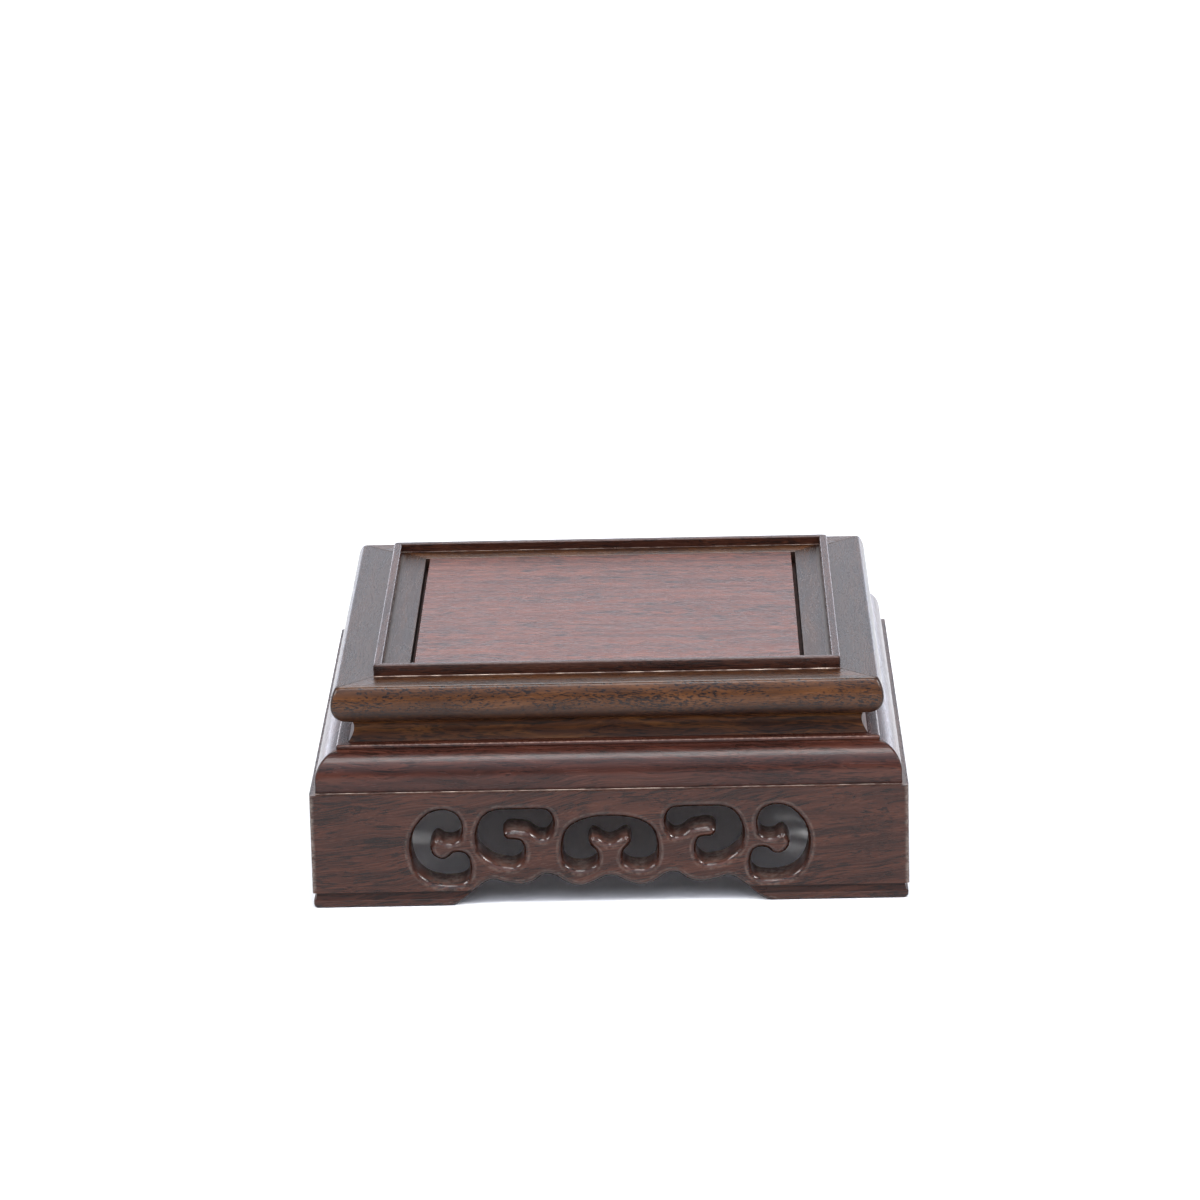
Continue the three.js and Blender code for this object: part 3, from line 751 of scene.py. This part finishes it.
def mitred_member(section, radius):
    """The front member of a square layer. Each point of its section is a distance outwards from the
    middle, a height and a share of wear and painted shade; the section is drawn along from mitre to mitre."""
    bm = bmesh.new()
    wear_and_shade = bm.verts.layers.float.new("wear_and_shade")
    rub_and_shade = bm.verts.layers.float.new("rub_and_shade")
    out = bm.verts.layers.float.new("out")
    outer = max(point[0] for point in section)
    for outward, height, rub_and_paint in section:
        vert = bm.verts.new((0, -outward, height))
        vert[rub_and_shade] = rub_and_paint
        vert[out] = outward
    bm.verts.ensure_lookup_table()
    end = bm.faces.new(bm.verts)
    stations = [(-1, share) for share in (0, 0.33, 0.66, 1, 3)]
    stations += [(1, share) for share in (3, 1, 0.66, 0.33, 0)]
    faces = [end]
    verts = list(end.verts)
    for place, (side, share) in enumerate(stations):
        if place:
            made = bmesh.ops.extrude_face_region(bm, geom=faces)["geom"]
            # The face that was drawn out stays behind as a partition, so it goes.
            if place > 1:
                bmesh.ops.delete(bm, geom=faces, context="FACES_KEEP_BOUNDARY")
            faces = [g for g in made if isinstance(g, bmesh.types.BMFace)]
            verts = [g for g in made if isinstance(g, bmesh.types.BMVert)]
        for vert in verts:
            outward = vert[out]
            soft = radius if outer - outward < ROUNDED_IN and outward > ROUNDED_OUT else 0
            across = side * (outward - MITRE_GAP - share * soft)
            vert.co.x, away = rounded_corner(across, outward, soft)
            vert.co.y = -away
            # Stain lies in the joint of the mitre.
            vert[wear_and_shade] = vert[rub_and_shade] if share else MITRE_STAIN
    return bm


def arc(middle_out, middle_up, radius_out, radius_up, start, end, steps, rub_and_paint=0.0):
    """Section points on part of an ellipse, in degrees from the outward way, with a share of wear and
    painted shade that is strongest half way.
    """
    points = []
    for step in range(steps + 1):
        angle = math.radians(start + (end - start) * step / steps)
        out = middle_out + radius_out * math.cos(angle)
        rubbed_and_painted = rub_and_paint * math.sin(math.pi * step / steps)
        points.append((out, middle_up + radius_up * math.sin(angle), rubbed_and_painted))
    return points


round_foot = APRON_TOP + MOULDING_FOOT
round_middle = MOULDING_OUTER - ROUND_WIDTH
step_face = MOULDING_OUTER - STEP_INSET
round_end = math.degrees(math.acos((ROUND_WIDTH - STEP_INSET) / ROUND_WIDTH))
moulding_section = [
    (MOULDING_INNER, APRON_TOP, BARE),
    (MOULDING_OUTER - 0.15, APRON_TOP, -0.35),
    (MOULDING_OUTER, APRON_TOP + 0.15, -0.35),
    *arc(round_middle, round_foot, ROUND_WIDTH, ROUND_HEIGHT, 0, round_end, 18),
    (step_face + 0.12, MOULDING_TOP - 0.75, 0),
    (step_face + 0.12, MOULDING_TOP - 0.45, 0),
    (step_face + 0.02, MOULDING_TOP - 0.2, 0.4),
    (step_face - 0.18, MOULDING_TOP - 0.05, 0.4),
    (step_face - 0.45, MOULDING_TOP, 0),
    (step_face - 3.2, MOULDING_TOP, 0),
    (MOULDING_INNER, MOULDING_TOP, BARE),
]
moulding_wood = rosewood(
    "moulding_rosewood", ("#2b1611", "#3b1f18", "#47271d", "#120a08", "#96786a"),
    veins=0.7, vein_gap=3.5, roughness=0.23,
)
for turn, side in enumerate(SIDES):
    bm = mitred_member(moulding_section, CORNER_ROUND)
    finish_piece(bm, f"{side}_moulding", turn, f"moulding_{side}", moulding_wood)

# Waist: thin strips with a shallow hollow, sunk between the moulding and the top frame. Their wood
# is painted darker and warmer than the rest, painted shade under the frame's nose, and shines less.
WAIST_FOOT = 65.2
WAIST_TOP_OUT = 64.45
WAIST_DEEPEST = 63.8
WAIST_INNER = 59
WAIST_TOP = 46.2
WAIST_HANDLE_UP = 0.58  # the hollow is deepest a little above the middle
WAIST_STEPS = 12
waist_section = [(WAIST_INNER, MOULDING_TOP, BARE)]
handle = 2 * WAIST_DEEPEST - (WAIST_FOOT + WAIST_TOP_OUT) / 2
for step in range(WAIST_STEPS + 1):
    t = step / WAIST_STEPS
    out = WAIST_FOOT * (1 - t) ** 2 + 2 * handle * t * (1 - t) + WAIST_TOP_OUT * t * t
    risen = 2 * WAIST_HANDLE_UP * t * (1 - t) + t * t
    waist_section.append((out, MOULDING_TOP + risen * (WAIST_TOP - MOULDING_TOP), 0))
waist_section.append((WAIST_INNER, WAIST_TOP, BARE))
waist_wood_painted_shade = rosewood(
    "waist_rosewood_painted_shade", ("#22110a", "#40220f", "#5c3819", "#0f0805", "#8a6a4a"),
    veins=0.9, streaks=0.25, roughness=0.34, specular=0.15,
)
for turn, side in enumerate(SIDES):
    bm = mitred_member(waist_section, 0.3)
    finish_piece(bm, f"{side}_waist", turn, f"waist_{side}", waist_wood_painted_shade)

# Top rails: the mitred frame that holds the panel. A rounded nose outside, a flat for the lip, and
# inside it a ledge level with the panel. Their tenons and grooves are hidden.
RAIL_NOSE = 69.3
RAIL_TOP = 55.8
RAIL_INNER = 49.85
LEDGE_TOP = 56.5
NOSE_DROP = 4.8
NOSE_UNDERCUT = 4
# the underside of the nose is painted dark, painted shade, most so half way round
UNDERCUT_PAINTED_SHADE = -0.8
NOSE_CORNER_ROUND = 1.2
LIP_OUTER = 58.75
LIP_INNER = 56.7
LIP_LET_IN = 1
GROOVE_IN = 53.35
GROOVE_LOW = 51.1
GROOVE_HIGH = 53.5

widest = RAIL_TOP - NOSE_DROP
rail_section = [
    (RAIL_INNER, WAIST_TOP, BARE),
    *arc(RAIL_NOSE - NOSE_UNDERCUT, widest, NOSE_UNDERCUT, widest - WAIST_TOP, -90, 0, 12, UNDERCUT_PAINTED_SHADE),
    (RAIL_NOSE - 0.1, widest + 1.3, 0),
    (RAIL_NOSE - 0.35, widest + 2.5, 0),
    (RAIL_NOSE - 0.75, widest + 3.5, 0),
    (RAIL_NOSE - 1.05, widest + 4.1, 0),
    (RAIL_NOSE - 1.3, widest + 4.5, 0),
    (RAIL_NOSE - 1.6, widest + 4.72, 0),
    (RAIL_NOSE - 2.0, RAIL_TOP, 0),
    (RAIL_NOSE - 2.8, RAIL_TOP, -0.4),
    (LIP_OUTER + 0.05, RAIL_TOP, -0.5),
    (LIP_OUTER + 0.05, RAIL_TOP - LIP_LET_IN, 0),
    (LIP_INNER - 0.05, RAIL_TOP - LIP_LET_IN, 0),
    (LIP_INNER - 0.05, LEDGE_TOP, -0.9),
    (LIP_INNER - 0.6, LEDGE_TOP, -0.7),
    (LIP_INNER - 1.2, LEDGE_TOP, -0.2),
    (RAIL_INNER + 0.3, LEDGE_TOP, -0.1),
    (RAIL_INNER + 0.08, LEDGE_TOP - 0.04, 0.2),
    # The inner face below the ledge and the groove are painted near black: painted shade in the open joint
    # beside the panel.
    (RAIL_INNER, LEDGE_TOP - 0.15, -1),
    (RAIL_INNER, GROOVE_HIGH, -1),
    (GROOVE_IN, GROOVE_HIGH, -1),
    (GROOVE_IN, GROOVE_LOW, -1),
    (RAIL_INNER, GROOVE_LOW, -1),
]
rail_wood = rosewood(
    "rail_rosewood", ("#341d0d", "#472a15", "#55341b", "#110c0d", "#a58d7c"),
    veins=0.5, pores=0.9, pore_size=(1.3, 0.34), pore_start=0.735, roughness=0.23,
)
END_RAIL_TONE = -0.5  # the two end rails are of a darker board
for turn, side in enumerate(SIDES):
    bm = mitred_member(rail_section, NOSE_CORNER_ROUND)
    tone = END_RAIL_TONE * (turn % 2)
    finish_piece(bm, f"{side}_rail", turn, f"top_rail_{side}", rail_wood, tone)

# Lip: strips on edge, let into the rails, that keep a pot from sliding off. Their upper corners are
# rubbed pale.
LIP_TOP = 58.8
LIP_EASE = 0.4
LIP_CORNER_ROUND = 0.8
LIP_RUBBED = 0.2
lip_section = [
    (LIP_INNER, RAIL_TOP - LIP_LET_IN, 0),
    (LIP_OUTER, RAIL_TOP - LIP_LET_IN, 0),
    *arc(LIP_OUTER - LIP_EASE, LIP_TOP - LIP_EASE, LIP_EASE, LIP_EASE, 0, 90, 6, LIP_RUBBED),
    *arc(LIP_INNER + LIP_EASE, LIP_TOP - LIP_EASE, LIP_EASE, LIP_EASE, 90, 180, 6, LIP_RUBBED),
]
lip_wood = rosewood(
    "lip_rosewood", ("#28130c", "#361c12", "#402317", "#0f0908", "#8c7470"), veins=0.3,
)
for turn, side in enumerate(SIDES):
    bm = mitred_member(lip_section, LIP_CORNER_ROUND)
    finish_piece(bm, f"{side}_lip", turn, f"lip_{side}", lip_wood)

# Panel: one loose board with its tongue in the rails' groove, redder than the frame. Its grain runs
# left to right. The joints at its left and right ends stand open.
PANEL_HALF_X = 48.8
PANEL_HALF_Y = 49.55
PANEL_BOTTOM = 50.5
TONGUE_REACH = 53.15
TONGUE_LOW = 51.3
TONGUE_HIGH = 53.3
PANEL_EASE = 0.12
PANEL_SHADE = 56.3  # the panel's sides are painted near black from here down to the tongue, painted shade in the open joints


def panel_board():
    bm = bmesh.new()
    wear_and_shade = bm.verts.layers.float.new("wear_and_shade")
    bmesh.ops.create_cube(bm, size=1)
    height = LEDGE_TOP - PANEL_BOTTOM
    bmesh.ops.scale(bm, vec=(2 * PANEL_HALF_X, 2 * PANEL_HALF_Y, height), verts=bm.verts)
    bmesh.ops.translate(bm, vec=(0, 0, PANEL_BOTTOM + height / 2), verts=bm.verts)
    upper = [e for e in bm.edges if all(v.co.z > LEDGE_TOP - 0.1 for v in e.verts)]
    bmesh.ops.bevel(
        bm, geom=upper, offset=PANEL_EASE, segments=3, profile=0.5, affect="EDGES", material=-1
    )
    for level in (TONGUE_LOW, TONGUE_HIGH, PANEL_SHADE):
        score(bm, (0, 0, level), (0, 0, 1))
    band = [f for f in bm.faces if TONGUE_LOW < f.calc_center_median().z < TONGUE_HIGH]
    made = bmesh.ops.extrude_face_region(bm, geom=band)["geom"]
    bmesh.ops.delete(bm, geom=band, context="FACES_KEEP_BOUNDARY")
    for vert in (g for g in made if isinstance(g, bmesh.types.BMVert)):
        vert.co.x = math.copysign(TONGUE_REACH, vert.co.x)
        vert.co.y = math.copysign(TONGUE_REACH, vert.co.y)
    for vert in bm.verts:
        # Painted shade in the open joints: the sides are darkened from the tongue up to PANEL_SHADE.
        if TONGUE_LOW - NEAR < vert.co.z < PANEL_SHADE + NEAR:
            vert[wear_and_shade] = -1
        elif vert.co.z < TONGUE_LOW:
            vert[wear_and_shade] = BARE
    return bm


panel_wood = rosewood(
    "panel_rosewood", ("#4b271d", "#5b2f22", "#663829", "#180c0c", "#93857b"),
    veins=0.1, pores=0.9, pore_size=(4.5, 0.4), pore_start=0.74, fibre_size=(12, 0.5),
    streaks=0.35, specular=0.33,
)
finish_piece(panel_board(), "top_panel", 0, "panel", panel_wood)

# Batten: a dovetailed bar under the panel, across its grain, seen only from below.
dress_node("panel_batten", batten_wood)

# Joint filler: pale filler that has squeezed out in a hairline along the foot of the moulding and
# along both sides of the lip's foot, dull and broken up by stain.
MOULDING_FILLER = 0.08
LIP_FILLER = 0.13
LEDGE_FILLER = 0.05
SIDE_FILLER = 0.45  # along the side members less of it shows
filler = bpy.data.materials.new("joint_filler")
filler.use_nodes = True
filler_tree = filler.node_tree
filler_place = add_node(filler_tree, "ShaderNodeAttribute", attribute_name="grain").outputs["Vector"]
filler_noise = add_node(
    filler_tree, "ShaderNodeTexNoise", {"Vector": filler_place, "Scale": 0.25, "Detail": 5}
)
filler_colour = add_node(
    filler_tree, "ShaderNodeValToRGB", {"Fac": filler_noise.outputs["Fac"]},
    stops=[(0.43, linear("#4c342a")), (0.68, linear("#c4b09f"))],
)
filler_shader = filler_tree.nodes["Principled BSDF"]
filler_tree.links.new(filler_colour.outputs["Color"], filler_shader.inputs["Base Color"])
filler_shader.inputs["Roughness"].default_value = 0.6
CORNERS = {
    "moulding": (MOULDING_OUTER, APRON_TOP, MOULDING_FILLER),
    "lip": (LIP_OUTER, RAIL_TOP, LIP_FILLER),
    "ledge": (LIP_INNER, LEDGE_TOP, -LEDGE_FILLER),
}
for layer, (outward, level, width) in CORNERS.items():
    for turn, side in enumerate(SIDES):
        reach = width * (SIDE_FILLER if turn % 2 else 1)
        across = (outward + reach, level, 0)
        line_section = [(outward, level, 0), across, (outward, level + abs(reach), 0)]
        bm = mitred_member(line_section, 0)
        finish_piece(bm, f"{side}_{layer}_filler", turn, None, filler)
